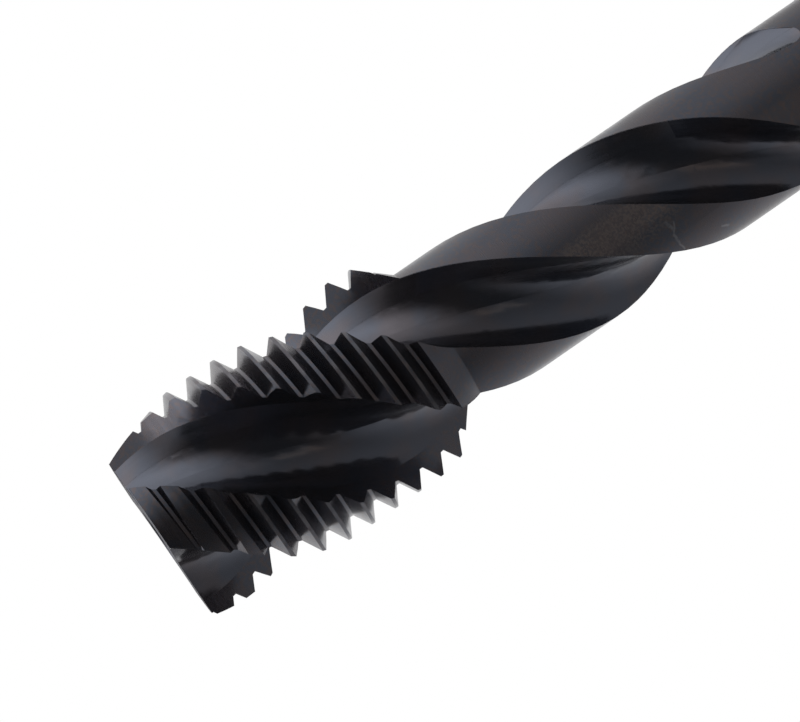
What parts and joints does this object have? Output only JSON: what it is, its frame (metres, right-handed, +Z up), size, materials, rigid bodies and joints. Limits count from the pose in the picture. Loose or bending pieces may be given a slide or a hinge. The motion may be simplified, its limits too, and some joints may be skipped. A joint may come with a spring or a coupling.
{
  "type": "spiral flute tap",
  "caption": "Right-hand machine tap with spiral flutes, a threaded cutting head with a tapered lead, a relieved neck, a plain shank and a driving square.",
  "frame": {"origin": "centre of the flat tip face, on the tool's axis", "axes": "+Z up the axis from the tip to the driving square; the first cutting edge crosses +X at the neck radius in the tip face"},
  "size_m": [0.016, 0.016, 0.11],
  "materials": {
    "coated_tool_steel": "ground high-speed steel with a thin blue-black coating, satin"
  },
  "bodies": {
    "root": {"spiral_flute_tap": "coated_tool_steel"}
  },
  "joints": []
}
